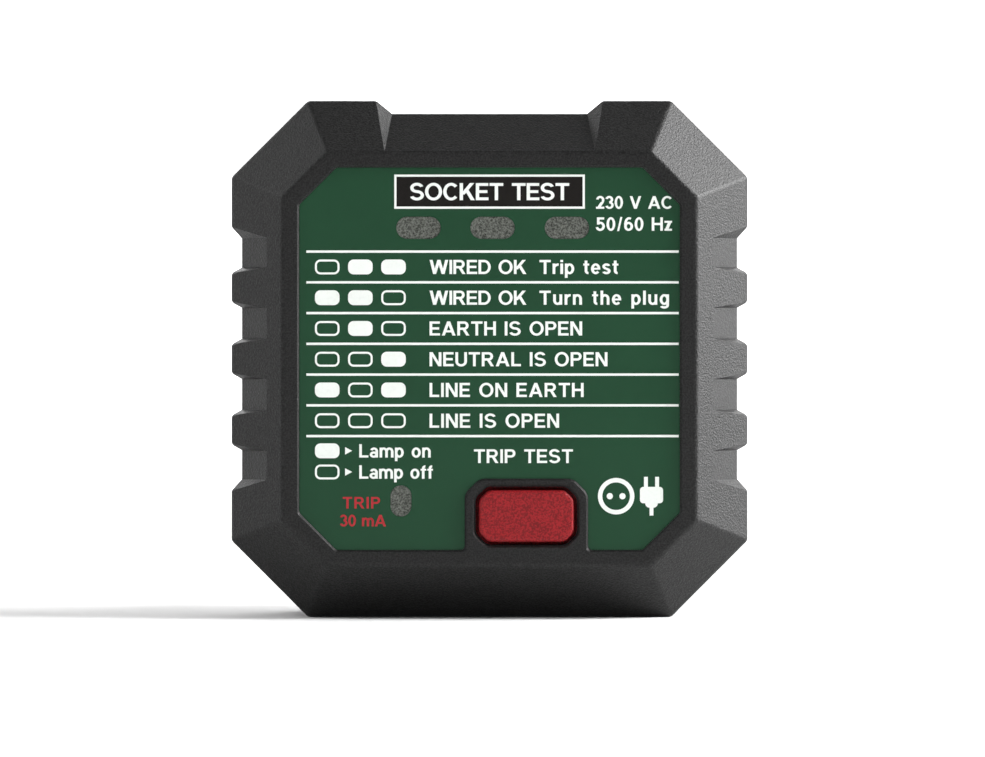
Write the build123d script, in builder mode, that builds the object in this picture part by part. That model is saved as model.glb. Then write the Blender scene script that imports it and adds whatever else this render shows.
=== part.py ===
from build123d import *
import os
from math import pi, sin, sqrt

os.makedirs("parts", exist_ok=True)

# Plug-in outlet tester with two round pins and side earth contacts.
# Millimetres. The origin is the centre of the plug face, between the two pins. The pins point
# along +Y, the labelled face looks along -Y, and +Z is up. A "level" is a distance from the plug
# face towards the labelled face, so the plug face is level 0 and the pin tips are at -19.

# ---- driving dimensions -------------------------------------------------------------------
plug_height = 17.5          # the round plug body stands this far out of the casing
case_depth = 30.0           # casing, from its rear face to its front rim
case_half = 35.0            # half of the casing's width and height
case_corner = 10.35         # 45 degree corner of the casing's outline, measured along a side
edge_round = 1.0            # rounding of all the casing's outer edges
corner_step = 2 - sqrt(2)   # a cut corner shrinks by this much for each unit of inset
front_bevel = 7.2           # width and depth of the bevel round the front
rear_bevel = 3.0
wall = 3.5                  # casing side wall
front_wall = 2.0
rear_wall = 2.0

rear_level = plug_height
front_level = plug_height + case_depth
bevel_level = front_level - front_bevel
parting_level = 32.0
seam = 0.2                  # chamfer along the parting line

label_half = (25.55, 25.68)
label_corner = 5.0
label_round = 0.7
label_thickness = 0.25
label_sink = 0.45           # from the rim down to the label's surface
label_gap = 0.03
recess_edge = 0.25          # chamfer round the mouth of the label's recess

grip_depth = 1.44           # side recesses
grip_lobe = (16.3, 17.9)    # where the lobe above the grip starts, at the recess floor and outside
grip_apex = 30.0            # where the recess runs out on the bevel, from the middle
rib_pitch = 9.64
rib_half = (2.75, 1.95)     # half-height of a rib at the recess floor and at its outer face
grip_round = (0.85, 0.5)    # rounding of the ribs' and lobes' outer corners, and at the floor

crown_depth = 1.8           # recess along the top
crown_half = (13.2, 15.4)   # its half-width at the floor and at the outer edge
crown_apex = 14.1           # its half-width where it runs out at the rim
crown_round = (0.9, 0.5)

window_size = (6.0, 3.0)
window_x = (-9.55, 0.40, 10.40)
window_z = 17.6
trip_window_size = (2.85, 4.2)
trip_window_at = (-11.9, -19.1)
window_gap = 0.05

button_size = (12.75, 6.95)
button_at = (4.95, -21.1)
button_corner = 1.25
button_round = 1.4
button_gap = 0.45
button_proud = 0.1
bezel_half = 8.3
bezel_top = -16.1
bezel_corner = 2.0
bezel_round = 1.8
bezel_edge = 0.35           # chamfer round the mouth of the button's opening
notch_round = 0.6           # the label's corners beside the bezel

plug_radius = 18.5
plug_bore = 14.5
plug_end_wall = 2.5
pin_radius = 2.4
pin_reach = 19.0
pin_spacing = 19.0
pin_tip = 1.4
earth_groove = (6.6, 16.2)  # width of the groove, and how far its floor is from the centre
guide_notch = (5.6, 2.5)    # width and depth
earth_pin_z = 10.0
earth_pin_bore = 2.45

boss_at = 20.0              # the four housing screws stand at plus and minus this, in X and Z
pcb_half = 25.5
pcb_corner = 16.5
pcb_thickness = 1.6
pcb_front = 38.0
pcb_rear = pcb_front - pcb_thickness


def level(depth):
    """A plane across the tester, its normal towards the front. A sketch's own Y is the Z here."""
    return Plane.XZ.offset(depth)


def octagon(depth, half, corner, radius=0.0):
    """A square outline with cut corners at a level."""
    with BuildSketch(level(depth)) as outline:
        Rectangle(2 * half[0], 2 * half[1])
        chamfer(outline.vertices(), corner)
        if radius:
            fillet(outline.vertices(), radius)
    return outline.sketch


def case_outline(depth, inset, radius=0.0):
    """The casing's outline moved inwards by inset, all eight sides by the same distance."""
    half = case_half - inset
    corner = case_corner - inset * corner_step
    return octagon(depth, (half, half), corner, radius)


def disc(depth, radius, at=(0, 0)):
    """A circle at a level."""
    with BuildSketch(level(depth)) as outline:
        with Locations(at):
            Circle(radius)
    return outline.sketch


def save(piece, name):
    """Label a finished piece and write it under its own name."""
    piece.part.label = name
    export_step(piece.part, "parts/" + name + ".step")


# ---- outer form of the casing, used by both halves -----------------------------------------
belt_start = rear_level + rear_bevel
with BuildPart() as casing:
    loft([case_outline(rear_level, rear_bevel), case_outline(belt_start, 0)], ruled=True)
    extrude(case_outline(belt_start, 0), amount=bevel_level - belt_start)
    loft([case_outline(bevel_level, 0), case_outline(front_level, front_bevel)], ruled=True)
    fillet(casing.edges(), edge_round)

# Each grip recess is a row of pockets between the lobes and the three ribs. A pocket has a level
# floor along the belt and a steeper one on the bevel, where it runs out.
outside = 6.0               # the cutters reach this far past the casing
shoulder = 1.2              # their edges follow its sides for this far, to round its corners
past_apex = 1.2             # the cutters run on past the place where they leave the casing
apex_level = bevel_level + case_half - grip_apex
grip_floor = case_half - grip_depth
lobe_flare = (grip_lobe[1] - grip_lobe[0]) / grip_depth
rib_flare = (rib_half[0] - rib_half[1]) / grip_depth
pockets = [
    (rib_pitch + rib_half[0], rib_flare, grip_lobe[0], lobe_flare),
    (rib_half[0], rib_flare, rib_pitch - rib_half[0], rib_flare),
]


def pocket_profile(low, low_flare, high, high_flare):
    """Cross-section of a grip pocket, where the belt meets the bevel."""
    low_edge = low - low_flare * grip_depth
    high_edge = high + high_flare * grip_depth
    with BuildSketch(level(bevel_level)) as profile:
        with BuildLine():
            Polyline(
                (grip_floor, low),
                (case_half, low_edge),
                (case_half, low_edge - shoulder),
                (case_half + outside, low_edge - shoulder),
                (case_half + outside, high_edge + shoulder),
                (case_half, high_edge + shoulder),
                (case_half, high_edge),
                (grip_floor, high),
                close=True,
            )
        make_face()
        corners = profile.vertices().group_by(Axis.X)
        fillet(corners[1].sort_by(Axis.Y)[1:3], grip_round[0])
        fillet(corners[0], grip_round[1])
    return profile.sketch


with BuildPart() as grip_cutter:
    slope = Vector(grip_apex - grip_floor, bevel_level - apex_level, 0)
    for pocket in pockets:
        profile = pocket_profile(*pocket)
        extrude(profile, amount=-case_depth)
        extrude(profile, amount=slope.length * past_apex, dir=slope.normalized())
    mirror(about=Plane.XY)
    mirror(about=Plane.YZ)


mirror_overlap = 1.0        # the right half of the crown's cutter passes the middle by this much


def crown_profile():
    """Cross-section of the right half of the recess along the top."""
    floor = case_half - crown_depth
    with BuildSketch(level(bevel_level)) as profile:
        with BuildLine():
            Polyline(
                (-mirror_overlap, floor),
                (crown_half[0], floor),
                (crown_half[1], case_half),
                (crown_half[1] + shoulder, case_half),
                (crown_half[1] + shoulder, case_half + outside),
                (-mirror_overlap, case_half + outside),
                close=True,
            )
        make_face()
        foot, shoulder_corner = profile.vertices().sort_by(Axis.X)[2:4]
        fillet(shoulder_corner, crown_round[0])
        fillet(foot, crown_round[1])
    return profile.sketch


with BuildPart() as crown_cutter:
    slope = Vector(crown_apex - crown_half[0], -front_bevel, crown_depth - front_bevel)
    profile = crown_profile()
    extrude(profile, amount=-case_depth)
    extrude(profile, amount=slope.length * past_apex, dir=slope.normalized())
    mirror(about=Plane.YZ)


# ---- levels inside the front ----------------------------------------------------------------
label_floor = front_level - label_sink - label_thickness
inner_front = label_floor - front_wall
cavity_bevel = 5.0          # depth and width of the 45 degree step inside the bevel
cavity_radius = 2.0
lip_wall = 2.6              # the rear half's lip stands this far inside the outline
lip_height = 1.2
lip_gap = 0.1
boss_radius = 3.2
boss_pilot = 1.45
boss_depth = 10.0
post_at = 20.5              # two posts carry the circuit board, left and right
post_radius = 2.6
post_pilot = 0.9
post_depth = 4.0
bosses = [(x, z) for x in (-boss_at, boss_at) for z in (-boss_at, boss_at)]
posts = [(-post_at, 0), (post_at, 0)]


def bezel_outline(depth, grow=0.0):
    """The raised surround of the button, open towards the rim below it."""
    left = button_at[0] - bezel_half - grow
    right = button_at[0] + bezel_half + grow
    top = bezel_top + grow
    foot = -case_half + front_bevel
    with BuildSketch(level(depth)) as outline:
        with BuildLine():
            Polyline((left, foot), (left, top), (right, top), (right, foot), close=True)
        make_face()
        chamfer(outline.vertices().group_by(Axis.Y)[-1], bezel_corner + corner_step * grow)
        fillet(outline.vertices().sort_by(Axis.Y)[2:], bezel_round)
    return outline.sketch


def label_shape(depth, grow=0.0):
    """The label's outline, notched round the bezel."""
    half = (label_half[0] + grow, label_half[1] + grow)
    with BuildSketch(level(depth)) as outline:
        add(octagon(depth, half, label_corner + corner_step * grow, label_round))
        add(bezel_outline(depth, -grow), mode=Mode.SUBTRACT)
        notch_feet = outline.vertices().group_by(Axis.Y)[0].sort_by(lambda v: abs(v.X - button_at[0]))[:2]
        fillet(notch_feet, notch_round)
    return outline.sketch


def window_shapes(depth, grow=0.0):
    """The three round-ended lamp windows and the upright one beside the button."""
    with BuildSketch(level(depth)) as outline:
        with Locations(*[(x, window_z) for x in window_x]):
            SlotOverall(window_size[0] + 2 * grow, window_size[1] + 2 * grow)
        with Locations(trip_window_at):
            SlotOverall(trip_window_size[1] + 2 * grow, trip_window_size[0] + 2 * grow, rotation=90)
    return outline.sketch


def button_outline(depth, grow=0.0):
    """The button's rectangle with cut and softened corners."""
    with BuildSketch(level(depth)) as outline:
        with Locations(button_at):
            Rectangle(button_size[0] + 2 * grow, button_size[1] + 2 * grow)
        chamfer(outline.vertices(), button_corner + corner_step * grow)
        fillet(outline.vertices(), button_round)
    return outline.sketch


# ---- front housing: bevelled shell, front wall, bezel, windows and screw bosses -------------
with BuildPart() as front_housing:
    add(casing.part)
    add(grip_cutter.part, mode=Mode.SUBTRACT)
    add(crown_cutter.part, mode=Mode.SUBTRACT)
    split(bisect_by=level(parting_level), keep=Keep.TOP)
    chamfer(front_housing.faces().sort_by(Axis.Y)[-1].edges(), seam)
    extrude(
        case_outline(parting_level, wall, cavity_radius),
        amount=inner_front - cavity_bevel - parting_level,
        mode=Mode.SUBTRACT,
    )
    loft(
        [
            case_outline(inner_front - cavity_bevel, wall, cavity_radius),
            case_outline(inner_front, wall + cavity_bevel, cavity_radius),
        ],
        ruled=True,
        mode=Mode.SUBTRACT,
    )
    extrude(
        case_outline(parting_level, lip_wall - lip_gap, cavity_radius),
        amount=lip_height + lip_gap,
        mode=Mode.SUBTRACT,
    )
    for at in bosses:
        extrude(disc(parting_level, boss_radius, at), amount=inner_front - parting_level)
        extrude(disc(parting_level, boss_pilot, at), amount=boss_depth, mode=Mode.SUBTRACT)
    for at in posts:
        extrude(disc(pcb_front, post_radius, at), amount=inner_front - pcb_front)
        extrude(disc(pcb_front, post_pilot, at), amount=post_depth, mode=Mode.SUBTRACT)
    extrude(
        label_shape(label_floor, label_gap),
        amount=front_level - recess_edge - label_floor,
        mode=Mode.SUBTRACT,
    )
    loft(
        [
            label_shape(front_level - recess_edge, label_gap),
            label_shape(front_level, label_gap + recess_edge),
        ],
        ruled=True,
        mode=Mode.SUBTRACT,
    )
    extrude(window_shapes(inner_front, window_gap), amount=front_wall, mode=Mode.SUBTRACT)
    extrude(
        button_outline(inner_front, button_gap),
        amount=front_level - inner_front,
        mode=Mode.SUBTRACT,
    )
    loft(
        [
            button_outline(front_level - bezel_edge, button_gap),
            button_outline(front_level, button_gap + bezel_edge),
        ],
        ruled=True,
        mode=Mode.SUBTRACT,
    )
save(front_housing, "front_housing")

# ---- rear housing: tray with four screw bosses and a round hole for the plug body --------------
inner_rear = rear_level + rear_wall
screw_hole = 1.6
counterbore = (3.0, 7.0)    # radius and depth, from the rear face
rear_boss = 3.9
neck_radius = 15.9          # the plug body's neck fits the hole in the rear wall
neck_gap = 0.1
strap_slot = (6.6, 17.4)    # the earth strap's slots at the hole's edge: width, and how far out

with BuildPart() as rear_housing:
    add(casing.part)
    add(grip_cutter.part, mode=Mode.SUBTRACT)
    add(crown_cutter.part, mode=Mode.SUBTRACT)
    split(bisect_by=level(parting_level), keep=Keep.BOTTOM)
    chamfer(rear_housing.faces().sort_by(Axis.Y)[0].edges(), seam)
    extrude(
        case_outline(inner_rear, wall, cavity_radius),
        amount=parting_level - inner_rear,
        mode=Mode.SUBTRACT,
    )
    with BuildSketch(level(parting_level - lip_height)):
        add(case_outline(parting_level - lip_height, lip_wall, cavity_radius))
        add(case_outline(parting_level - lip_height, wall, cavity_radius), mode=Mode.SUBTRACT)
    extrude(amount=2 * lip_height)
    with BuildSketch(level(rear_level)):
        Circle(neck_radius + neck_gap)
        Rectangle(strap_slot[0], 2 * strap_slot[1])
    extrude(amount=rear_wall, mode=Mode.SUBTRACT)
    for at in bosses:
        extrude(disc(rear_level, rear_boss, at), amount=parting_level - rear_level)
        extrude(disc(rear_level, screw_hole, at), amount=parting_level - rear_level, mode=Mode.SUBTRACT)
        extrude(disc(rear_level, counterbore[0], at), amount=counterbore[1], mode=Mode.SUBTRACT)
save(rear_housing, "rear_housing")

# ---- plug body: hollow round insert that snaps into the rear wall -------------------------------
plug_edge = 1.0
lug_radius = 17.6
lug_width = 5.0
lug_clear = 0.05            # between the lugs and the rear wall
lug_top = inner_rear + 1.2
strap_hook = (1.0, 2.2)     # levels of the pocket that takes the strap's hooked end
hook_width = 2.6
pin_seat = 2.8              # radius of the pin's shoulder in the end wall
earth_hole = 3.15
retainer_post = (2.4, 1.5)  # radius and height
retainer_screws_at = [(-5.0, -9.0), (5.0, -9.0)]
retainer_pilot = 0.9
pilot_level = 1.2
pins_at = [(-pin_spacing / 2, 0), (pin_spacing / 2, 0)]

with BuildPart() as plug_body:
    extrude(disc(0, plug_radius), amount=plug_height)
    chamfer(plug_body.faces().sort_by(Axis.Y)[-1].edges(), plug_edge)
    extrude(disc(rear_level, neck_radius), amount=lug_top - rear_level)
    with BuildSketch(level(inner_rear + lug_clear)) as lugs:
        Circle(lug_radius)
        with PolarLocations(0, 4):
            Rectangle(2 * plug_radius, 2 * lug_radius * sin(pi / 4) - lug_width, mode=Mode.SUBTRACT)
    extrude(amount=lug_top - inner_rear - lug_clear)
    extrude(disc(plug_end_wall, plug_bore), amount=lug_top - plug_end_wall, mode=Mode.SUBTRACT)
    for side in (-1, 1):
        groove_middle = side * (earth_groove[1] + plug_radius) / 2
        with BuildSketch(level(0)):
            with Locations((0, groove_middle)):
                Rectangle(earth_groove[0], plug_radius - earth_groove[1])
            with Locations((side * plug_radius, 0)):
                Rectangle(2 * guide_notch[1], guide_notch[0])
        extrude(amount=plug_height, mode=Mode.SUBTRACT)
        with BuildSketch(level(strap_hook[0])):
            with Locations((0, side * earth_groove[1])):
                Rectangle(earth_groove[0], hook_width)
        extrude(amount=strap_hook[1] - strap_hook[0], mode=Mode.SUBTRACT)
    for at in retainer_screws_at:
        extrude(disc(plug_end_wall, retainer_post[0], at), amount=retainer_post[1])
        pilot_depth = plug_end_wall + retainer_post[1] - pilot_level
        extrude(disc(pilot_level, retainer_pilot, at), amount=pilot_depth, mode=Mode.SUBTRACT)
    for at in pins_at:
        extrude(disc(0, pin_seat, at), amount=plug_end_wall, mode=Mode.SUBTRACT)
    extrude(disc(0, earth_hole, (0, earth_pin_z)), amount=plug_end_wall, mode=Mode.SUBTRACT)
save(plug_body, "plug_body")

# ---- label and lamp windows ---------------------------------------------------------------------
with BuildPart() as face_label:
    extrude(label_shape(label_floor), amount=label_thickness)
    extrude(window_shapes(label_floor), amount=label_thickness, mode=Mode.SUBTRACT)
save(face_label, "face_label")

window_lip = 0.7            # the lens is this much wider behind the wall
window_lip_thickness = 0.8
window_sink = 0.08          # below the label's surface
window_names = ["window_left", "window_middle", "window_right", "window_trip"]
window_places = [(x, window_z) for x in window_x] + [trip_window_at]
window_sizes = [window_size] * 3 + [(trip_window_size[1], trip_window_size[0])]
window_turns = [0, 0, 0, 90]
for name, at, size, turn in zip(window_names, window_places, window_sizes, window_turns):
    with BuildPart() as window:
        with BuildSketch(level(inner_front - window_lip_thickness)):
            with Locations(at):
                SlotOverall(size[0] + 2 * window_lip, size[1] + 2 * window_lip, rotation=turn)
        extrude(amount=window_lip_thickness)
        with BuildSketch(level(inner_front)):
            with Locations(at):
                SlotOverall(size[0] - window_gap, size[1] - window_gap, rotation=turn)
        extrude(amount=front_level - label_sink - window_sink - inner_front)
    save(window, name)

# ---- test button, its spring and the switch behind it -------------------------------------------
button_flange = 1.1         # the flange is this much wider than the button on each side
flange_gap = 0.1            # between the flange and the front wall
flange_levels = (inner_front - 1.0, inner_front - flange_gap)
button_edge = 0.45
switch_height = 3.6
switch_size = 6.2
switch_corner = 0.5
switch_floor = 0.5
plunger_radius = 1.76
plunger_bore = 1.80
plunger_edge = 0.2
plunger_top = pcb_front + 5.1
plunger_bottom = pcb_front + 1.9
spring_radius = 2.4
spring_wire = 0.22
spring_turns = 5
spring_pocket = 3.2
stem_radius = 1.5
stem_gap = 0.1
pocket_top = 46.5
spring_gap = 0.03           # at each end of the spring
spring_bottom = pcb_front + switch_height + spring_wire + spring_gap
spring_top = pocket_top - spring_wire - spring_gap

with BuildPart() as test_button:
    extrude(button_outline(flange_levels[0], button_flange), amount=flange_levels[1] - flange_levels[0])
    extrude(button_outline(flange_levels[1]), amount=front_level + button_proud - flange_levels[1])
    fillet(test_button.faces().sort_by(Axis.Y)[0].edges(), button_edge)
    extrude(
        disc(flange_levels[0], spring_pocket, button_at),
        amount=pocket_top - flange_levels[0],
        mode=Mode.SUBTRACT,
    )
    extrude(disc(plunger_top + stem_gap, stem_radius, button_at), amount=pocket_top - plunger_top)
save(test_button, "test_button")

with BuildPart() as button_spring:
    with BuildLine() as coil:
        Helix(
            pitch=(spring_top - spring_bottom) / spring_turns,
            height=spring_top - spring_bottom,
            radius=spring_radius,
            center=(button_at[0], -spring_bottom, button_at[1]),
            direction=(0, -1, 0),
        )
    with BuildSketch(Plane(origin=coil.line @ 0, z_dir=coil.line % 0)):
        Circle(spring_wire)
    sweep(is_frenet=True)
save(button_spring, "button_spring")

switch_legs = [(button_at[0] + x, button_at[1] + z) for x in (-2.4, 2.4) for z in (-2.2, 2.2)]
leg_radius = 0.3
leg_hole = 0.4
leg_reach = 1.2             # past the far side of the board

with BuildPart() as test_switch:
    with BuildSketch(level(pcb_front)):
        with Locations(button_at):
            RectangleRounded(switch_size, switch_size, switch_corner)
    extrude(amount=switch_height)
    extrude(
        disc(pcb_front + switch_floor, plunger_bore, button_at),
        amount=switch_height,
        mode=Mode.SUBTRACT,
    )
    for at in switch_legs:
        extrude(disc(pcb_rear - leg_reach, leg_radius, at), amount=pcb_thickness + leg_reach)
save(test_switch, "test_switch")

with BuildPart() as switch_plunger:
    extrude(disc(plunger_bottom, plunger_radius, button_at), amount=plunger_top - plunger_bottom)
    chamfer(switch_plunger.faces().sort_by(Axis.Y)[0].edges(), plunger_edge)
save(switch_plunger, "switch_plunger")

# ---- lamps on the board ---------------------------------------------------------------------------
led_radius = 1.5
led_dome = 1.4              # rounding of the lamp's end
led_flange = (1.9, 0.8)
led_height = 4.6
led_pitch = 2.54
led_names = ["led_left", "led_middle", "led_right", "led_trip"]
for name, at in zip(led_names, window_places):
    with BuildPart() as led:
        extrude(disc(pcb_front, led_flange[0], at), amount=led_flange[1])
        extrude(disc(pcb_front, led_radius, at), amount=led_height)
        fillet(led.faces().sort_by(Axis.Y)[0].edges(), led_dome)
        for side in (-0.5, 0.5):
            leg_at = (at[0] + side * led_pitch, at[1])
            extrude(disc(pcb_rear - leg_reach, leg_radius, leg_at), amount=pcb_thickness + leg_reach)
    save(led, name)

# ---- parts with wire ends on the back of the board -------------------------------------------------


body_gap = 0.3              # between a component and the board
solder_reach = 0.5          # a component's wires pass the board by this much
cap_part = 0.25             # each end cap takes this part of a component's length
neck_part = 0.05            # and the slope down to its waist this part


def wired_part(at, radius, length, pitch, waist):
    """A round component that lies along X behind the board, its two wires bent into it."""
    depth = pcb_rear - radius - body_gap
    half = length / 2
    cap = half - cap_part * length
    neck = cap - neck_part * length
    with BuildPart() as piece:
        with BuildSketch(Plane.XY):
            with BuildLine():
                Polyline(
                    (-half, 0),
                    (-half, radius),
                    (-cap, radius),
                    (-neck, radius - waist),
                    (neck, radius - waist),
                    (cap, radius),
                    (half, radius),
                    (half, 0),
                    close=True,
                )
            make_face()
        revolve(axis=Axis.X)
        with BuildSketch(Plane.YZ.offset(-pitch / 2)):
            Circle(leg_radius)
        extrude(amount=pitch)
        with BuildSketch(Plane.XZ):
            with Locations((-pitch / 2, 0), (pitch / 2, 0)):
                Circle(leg_radius)
        extrude(amount=pcb_front + solder_reach - depth)
    return piece.part.moved(Location((at[0], -depth, at[1])))


resistors_at = [(9.0, z) for z in (1.0, -3.2, -7.4, -11.6)]
diodes_at = [(-9.0, z) for z in (-2.0, -6.0, -10.0, -14.0)]
fuse_at = (-9.0, 3.0)
power_resistor_at = (-9.0, 9.0)
small_pitch = 10.0
power_pitch = 15.0
# radius, length, pitch of the wires and depth of the waist
resistor_size = (1.15, 6.3, small_pitch, 0.15)
diode_size = (1.35, 5.0, small_pitch, 0.02)
fuse_size = (1.3, 7.0, small_pitch, 0.1)
power_resistor_size = (2.2, 11.5, power_pitch, 0.2)
capacitor_at = (10.0, 8.0)
capacitor_size = (13.0, 5.0)
capacitor_height = 8.0
capacitor_pitch = 10.0
capacitor_edge = 0.4
capacitor_root = 0.5        # its wires start this far inside it

with BuildPart() as resistors:
    for at in resistors_at:
        add(wired_part(at, *resistor_size))
save(resistors, "resistors")

with BuildPart() as diodes:
    for at in diodes_at:
        add(wired_part(at, *diode_size))
save(diodes, "diodes")

with BuildPart() as fuse:
    add(wired_part(fuse_at, *fuse_size))
save(fuse, "fuse")

with BuildPart() as power_resistor:
    add(wired_part(power_resistor_at, *power_resistor_size))
save(power_resistor, "power_resistor")

with BuildPart() as capacitor:
    with BuildSketch(level(pcb_rear - capacitor_height)):
        with Locations(capacitor_at):
            Rectangle(*capacitor_size)
    extrude(amount=capacitor_height)
    fillet(capacitor.edges(), capacitor_edge)
    for side in (-0.5, 0.5):
        leg_at = (capacitor_at[0] + side * capacitor_pitch, capacitor_at[1])
        extrude(
            disc(pcb_rear - capacitor_root, leg_radius, leg_at),
            amount=capacitor_root + pcb_thickness + solder_reach,
        )
save(capacitor, "capacitor")

# ---- circuit board with its holes -------------------------------------------------------------------
board_hole = 1.2
lead_pads = {"live": (-17.5, 4.0), "neutral": (17.5, 4.0), "earth": (0.0, -3.0)}
leg_places = list(switch_legs)
leg_places += [(x + side * led_pitch, z) for x, z in window_places for side in (-0.5, 0.5)]
leg_places += [
    (x + side * small_pitch, z) for x, z in resistors_at + diodes_at + [fuse_at] for side in (-0.5, 0.5)
]
leg_places += [(power_resistor_at[0] + side * power_pitch, power_resistor_at[1]) for side in (-0.5, 0.5)]
leg_places += [(capacitor_at[0] + side * capacitor_pitch, capacitor_at[1]) for side in (-0.5, 0.5)]

with BuildPart() as main_pcb:
    extrude(octagon(pcb_rear, (pcb_half, pcb_half), pcb_corner), amount=pcb_thickness)
    with BuildSketch(level(pcb_rear)):
        with Locations(*leg_places):
            Circle(leg_hole)
        with Locations(*posts):
            Circle(board_hole)
    extrude(amount=pcb_thickness, mode=Mode.SUBTRACT)
save(main_pcb, "main_pcb")

# ---- plug pins, turned from solid rod -----------------------------------------------------------------
flange_radius = 3.6
retainer_level = plug_end_wall + retainer_post[1]
tail_radius = 1.5
tail_level = 9.0
cup_radius = 0.9
cup_level = 7.0
for name, at in zip(["live_pin", "neutral_pin"], pins_at):
    with BuildPart() as pin:
        extrude(disc(-pin_reach, pin_radius, at), amount=pin_reach)
        fillet(pin.faces().sort_by(Axis.Y)[-1].edges(), pin_tip)
        extrude(disc(0, pin_seat, at), amount=plug_end_wall)
        extrude(disc(plug_end_wall, flange_radius, at), amount=retainer_post[1])
        extrude(disc(retainer_level, tail_radius, at), amount=tail_level - retainer_level)
        extrude(disc(cup_level, cup_radius, at), amount=tail_level - cup_level, mode=Mode.SUBTRACT)
    save(pin, name)

# ---- plate that holds the pins down inside the plug body ------------------------------------------------
retainer_radius = 14.2
retainer_thickness = 2.0
retainer_hole = 1.1
tail_gap = 0.1
socket_clear = 3.3
with BuildPart() as pin_retainer:
    extrude(disc(retainer_level, retainer_radius), amount=retainer_thickness)
    with BuildSketch(level(retainer_level)):
        with Locations(*pins_at):
            Circle(tail_radius + tail_gap)
        with Locations(*retainer_screws_at):
            Circle(retainer_hole)
        with Locations((0, earth_pin_z)):
            Circle(socket_clear)
    extrude(amount=retainer_thickness, mode=Mode.SUBTRACT)
save(pin_retainer, "pin_retainer")

# ---- earth contacts ---------------------------------------------------------------------------------------
strap_thickness = 0.8
strap_width = 6.0
strap_gap = 0.1
strap_out = earth_groove[1] + strap_gap + strap_thickness
hook_reach = 1.9
hook_level = strap_hook[0] + strap_gap
strap_bridge = 21.5
strap_bend = 0.9
socket_radius = 3.1
socket_level = 0.5
socket_depth = 17.0
rivet_radius = 1.2
rivet_head = (1.9, 0.6)     # radius and height
with BuildPart() as earth_strap:
    for side in (-1, 1):
        with BuildSketch(Plane.YZ.offset(-strap_width / 2)) as leg:
            with BuildLine():
                Polyline(
                    (-strap_bridge - strap_thickness, 0),
                    (-strap_bridge - strap_thickness, side * strap_out),
                    (-hook_level, side * strap_out),
                    (-hook_level, side * (strap_out - hook_reach)),
                    (-hook_level - strap_thickness, side * (strap_out - hook_reach)),
                    (-hook_level - strap_thickness, side * (strap_out - strap_thickness)),
                    (-strap_bridge, side * (strap_out - strap_thickness)),
                    (-strap_bridge, 0),
                    close=True,
                )
            make_face()
        extrude(amount=strap_width)
    along_width = earth_strap.edges().filter_by(Axis.X).group_by(Axis.Z)
    outer_corners = along_width[0] + along_width[-1]
    fillet(outer_corners, strap_bend)
    with BuildSketch(level(strap_bridge)):
        with Locations((0, earth_pin_z)):
            Circle(rivet_radius)
    extrude(amount=strap_thickness, mode=Mode.SUBTRACT)
save(earth_strap, "earth_strap")

with BuildPart() as earth_pin_socket:
    at = (0, earth_pin_z)
    extrude(disc(socket_level, socket_radius, at), amount=strap_bridge - socket_level)
    extrude(disc(socket_level, earth_pin_bore, at), amount=socket_depth - socket_level, mode=Mode.SUBTRACT)
    extrude(disc(strap_bridge, rivet_radius, at), amount=strap_thickness)
    extrude(disc(strap_bridge + strap_thickness, rivet_head[0], at), amount=rivet_head[1])
save(earth_pin_socket, "earth_pin_socket")

# ---- wires from the contacts to the board ------------------------------------------------------
wire_radius = 0.8
live, neutral, earth = lead_pads["live"], lead_pads["neutral"], lead_pads["earth"]
lead_levels = (18.0, 27.0)  # a pin's lead runs straight back, across, then straight to the board
earth_tap = -8.0            # where the earth lead leaves the strap
earth_levels = (27.0, 31.0)
lead_routes = {
    "lead_earth": [
        (0, -strap_bridge - strap_thickness, earth_tap),
        (0, -earth_levels[0], earth_tap),
        (0, -earth_levels[1], earth[1]),
        (0, -pcb_rear, earth[1]),
    ],
}
for name, pin_at, pad in zip(["lead_live", "lead_neutral"], pins_at, [live, neutral]):
    lead_routes[name] = [
        (pin_at[0], -cup_level, 0),
        (pin_at[0], -lead_levels[0], 0),
        (pad[0], -lead_levels[1], pad[1]),
        (pad[0], -pcb_rear, pad[1]),
    ]
lead_bend = 3.0
for name, route in lead_routes.items():
    with BuildPart() as lead:
        with BuildLine() as path:
            FilletPolyline(*route, radius=lead_bend)
        with BuildSketch(Plane(origin=path.line @ 0, z_dir=path.line % 0)):
            Circle(wire_radius)
        sweep()
    save(lead, name)

# ---- screws ---------------------------------------------------------------------------


# proportions of a pan head
head_edge = 0.25            # of its height
cross_reach = 1.3           # of its radius
cross_width = 0.22          # of its radius
cross_depth = 0.55          # of its height
point = 0.5                 # chamfer at the tip, of the shank's radius


def screw(at, seat, shank, length, head, head_height):
    """A pan-head screw that points to the front, with a cross recess."""
    with BuildPart() as piece:
        extrude(disc(seat, shank, at), amount=length)
        extrude(disc(seat - head_height, head, at), amount=head_height)
        chamfer(piece.faces().sort_by(Axis.Y)[-1].edges(), head_edge * head_height)
        with BuildSketch(level(seat - head_height)):
            with Locations(at):
                Rectangle(cross_reach * head, cross_width * head)
                Rectangle(cross_width * head, cross_reach * head)
        extrude(amount=cross_depth * head_height, mode=Mode.SUBTRACT)
        chamfer(piece.faces().sort_by(Axis.Y)[0].edges(), point * shank)
    return piece.part


# length, then the head's radius and height
housing_screw_size = (15.0, 2.7, 2.2)
pcb_screw_size = (4.8, 1.9, 1.2)
retainer_screw_size = (4.4, 1.9, 1.2)

with BuildPart() as housing_screws:
    for at in bosses:
        add(screw(at, rear_level + counterbore[1], boss_pilot, *housing_screw_size))
save(housing_screws, "housing_screws")

with BuildPart() as pcb_screws:
    for at in posts:
        add(screw(at, pcb_rear, post_pilot, *pcb_screw_size))
save(pcb_screws, "pcb_screws")

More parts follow.
